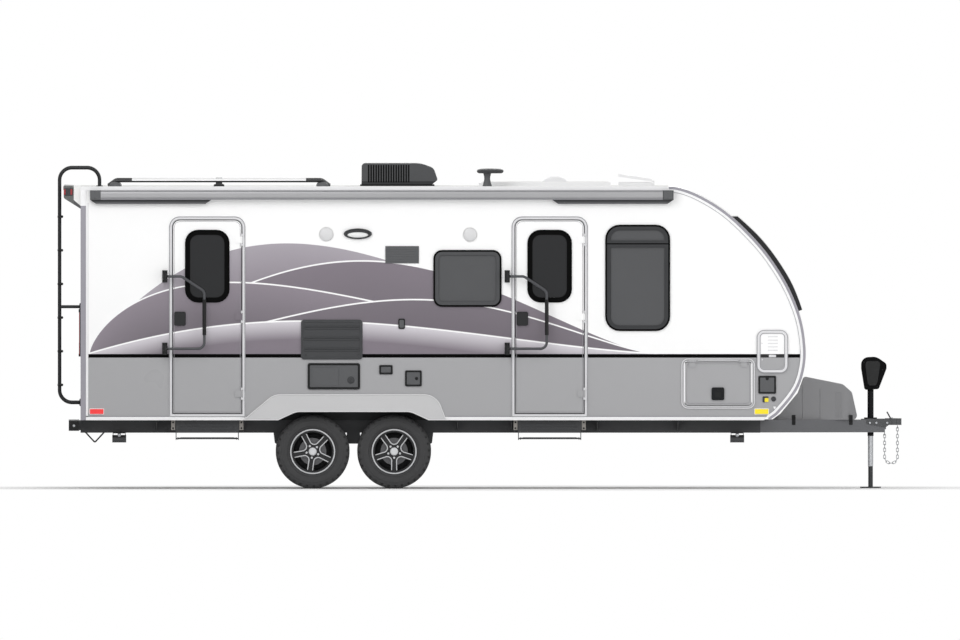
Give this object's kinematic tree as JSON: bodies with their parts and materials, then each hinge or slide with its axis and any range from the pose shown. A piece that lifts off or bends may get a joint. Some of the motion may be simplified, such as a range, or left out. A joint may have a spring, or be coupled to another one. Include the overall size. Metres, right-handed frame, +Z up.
{
  "type": "travel caravan",
  "caption": "Towed living caravan with a rounded nose, entry doors with folding grab handles, tandem axles, rear ladder, roof fittings and a tongue jack.",
  "frame": {"origin": "on the ground, on the centre line, midway between the ladder and the coupling", "axes": "+X towards the coupling, +Y to the left side, +Z up"},
  "size_m": [7.854, 2.5609, 3.023],
  "materials": {
    "wall_panel": "gel-coated fibreglass panel",
    "roof_skin": "white membrane",
    "floor_board": "sealed board",
    "frame_steel": "black chassis enamel",
    "axle_steel": "black paint",
    "tyre": "black rubber",
    "wheel_alloy": "black paint with machined edges",
    "skirt_plastic": "moulded, light grey",
    "dark_plastic": "moulded, black",
    "window_frame": "black powder coat",
    "door_frame": "white enamel",
    "door_panel": "gel-coated fibreglass panel",
    "handle_metal": "satin tube with foam grip",
    "awning_case": "grey powder coat",
    "white_plastic": "moulded, white",
    "ladder_metal": "satin",
    "red_lens": "moulded lens",
    "cover_plastic": "moulded, grey",
    "jack_paint": "black powder coat",
    "zinc_steel": "zinc plate",
    "step_metal": "black powder coat",
    "tinted_glass": "tinted safety glass"
  },
  "bodies": {
    "caravan": {"air_conditioner": "white_plastic", "antenna": "white_plastic", "awning": "awning_case", "axles": "axle_steel", "coupler": "frame_steel", "cross_members": "frame_steel", "door_frames": "door_frame", "fender_skirts": "skirt_plastic", "floor": "floor_board", "frame_rails": "frame_steel", "hatch_frame": "white_plastic", "ladder_rungs": "ladder_metal", "ladder_stiles": "ladder_metal", "lamp_pod": "white_plastic", "lamps": "red_lens", "leaf_springs": "axle_steel", "left_wall": "wall_panel", "locker_frames": "door_frame", "nose": "wall_panel", "nose_window": "tinted_glass", "rear_bumper": "frame_steel", "rear_wall": "wall_panel", "right_wall": "wall_panel", "roof": "roof_skin", "roof_rails": "dark_plastic", "safety_chains": "zinc_steel", "skylight": "white_plastic", "step_mounts": "frame_steel", "tank_cover": "cover_plastic", "tongue": "frame_steel", "tongue_jack": "jack_paint", "wall_fittings": "white_plastic", "wheel_wells": "dark_plastic", "window_frames": "window_frame", "window_panes": "tinted_glass"},
    "rear_right_wheel": {"rear_right_tyre": "tyre", "rear_right_rim": "wheel_alloy"},
    "rear_left_wheel": {"rear_left_tyre": "tyre", "rear_left_rim": "wheel_alloy"},
    "front_right_wheel": {"front_right_tyre": "tyre", "front_right_rim": "wheel_alloy"},
    "front_left_wheel": {"front_left_tyre": "tyre", "front_left_rim": "wheel_alloy"},
    "rear_door": {"rear_door": "door_panel", "rear_door_glass": "tinted_glass"},
    "front_door": {"front_door": "door_panel", "front_door_glass": "tinted_glass"},
    "rear_handle": {"rear_handle": "handle_metal"},
    "front_handle": {"front_handle": "handle_metal"},
    "right_locker_door": {"right_locker_door": "wall_panel"},
    "left_locker_door": {"left_locker_door": "wall_panel"},
    "hatch_lid": {"hatch_lid": "white_plastic"},
    "jack_leg": {"jack_leg": "zinc_steel"},
    "rear_step": {"rear_step": "step_metal"},
    "front_step": {"front_step": "step_metal"},
    "rear_right_stabiliser": {"rear_right_stabiliser": "frame_steel"},
    "rear_left_stabiliser": {"rear_left_stabiliser": "frame_steel"},
    "front_right_stabiliser": {"front_right_stabiliser": "frame_steel"},
    "front_left_stabiliser": {"front_left_stabiliser": "frame_steel"}
  },
  "joints": [
    {"name": "rear_right_wheel_spin", "type": "hinge", "parent": "caravan", "child": "rear_right_wheel", "pos_m": [-1.545, -1.02, 0.344], "axis": [0, 1, 0], "continuous": true},
    {"name": "rear_left_wheel_spin", "type": "hinge", "parent": "caravan", "child": "rear_left_wheel", "pos_m": [-1.545, 1.02, 0.344], "axis": [0, 1, 0], "continuous": true},
    {"name": "front_right_wheel_spin", "type": "hinge", "parent": "caravan", "child": "front_right_wheel", "pos_m": [-0.787, -1.02, 0.344], "axis": [0, 1, 0], "continuous": true},
    {"name": "front_left_wheel_spin", "type": "hinge", "parent": "caravan", "child": "front_left_wheel", "pos_m": [-0.787, 1.02, 0.344], "axis": [0, 1, 0], "continuous": true},
    {"name": "rear_door_hinge", "type": "hinge", "parent": "caravan", "child": "rear_door", "pos_m": [-2.2055, -1.235, 1.6], "axis": [0, 0, 1], "range_deg": [0, 45]},
    {"name": "rear_handle_swing", "type": "hinge", "parent": "caravan", "child": "rear_handle", "pos_m": [-2.921, -1.301, 1.64], "axis": [0, 0, -1], "range_deg": [0, 180]},
    {"name": "front_door_hinge", "type": "hinge", "parent": "caravan", "child": "front_door", "pos_m": [0.9805, -1.235, 1.6], "axis": [0, 0, 1], "range_deg": [0, 45]},
    {"name": "front_handle_swing", "type": "hinge", "parent": "caravan", "child": "front_handle", "pos_m": [0.265, -1.301, 1.64], "axis": [0, 0, -1], "range_deg": [0, 180]},
    {"name": "right_locker_hinge", "type": "hinge", "parent": "caravan", "child": "right_locker_door", "pos_m": [2.228, -1.235, 1.1805], "axis": [-1, 0, 0], "range_deg": [0, 110]},
    {"name": "left_locker_hinge", "type": "hinge", "parent": "caravan", "child": "left_locker_door", "pos_m": [2.228, 1.235, 1.1805], "axis": [1, 0, 0], "range_deg": [0, 110]},
    {"name": "hatch_lid_hinge", "type": "hinge", "parent": "caravan", "child": "hatch_lid", "pos_m": [1.627, 0, 2.849], "axis": [0, 1, 0], "range_deg": [-8, 55]},
    {"name": "jack_slide", "type": "slide", "parent": "caravan", "child": "jack_leg", "axis": [0, 0, 1], "range_m": [0, 0.35]},
    {"name": "rear_step_swing", "type": "hinge", "parent": "caravan", "child": "rear_step", "pos_m": [-2.526, -1.15, 0.466], "axis": [-1, 0, 0], "range_deg": [0, 180]},
    {"name": "front_step_swing", "type": "hinge", "parent": "caravan", "child": "front_step", "pos_m": [0.66, -1.15, 0.466], "axis": [-1, 0, 0], "range_deg": [0, 180]},
    {"name": "rear_right_stabiliser_swing", "type": "hinge", "parent": "caravan", "child": "rear_right_stabiliser", "pos_m": [-3.345, -0.43, 0.466], "axis": [1, 0, 0], "range_deg": [0, 49]},
    {"name": "rear_left_stabiliser_swing", "type": "hinge", "parent": "caravan", "child": "rear_left_stabiliser", "pos_m": [-3.345, 0.43, 0.466], "axis": [-1, 0, 0], "range_deg": [0, 49]},
    {"name": "front_right_stabiliser_swing", "type": "hinge", "parent": "caravan", "child": "front_right_stabiliser", "pos_m": [2.405, -0.43, 0.466], "axis": [1, 0, 0], "range_deg": [0, 49]},
    {"name": "front_left_stabiliser_swing", "type": "hinge", "parent": "caravan", "child": "front_left_stabiliser", "pos_m": [2.405, 0.43, 0.466], "axis": [-1, 0, 0], "range_deg": [0, 49]}
  ],
  "couplings": [
    {"joint": "rear_handle_swing", "follows": "rear_door_hinge", "ratio": 4},
    {"joint": "front_handle_swing", "follows": "front_door_hinge", "ratio": 4}
  ]
}
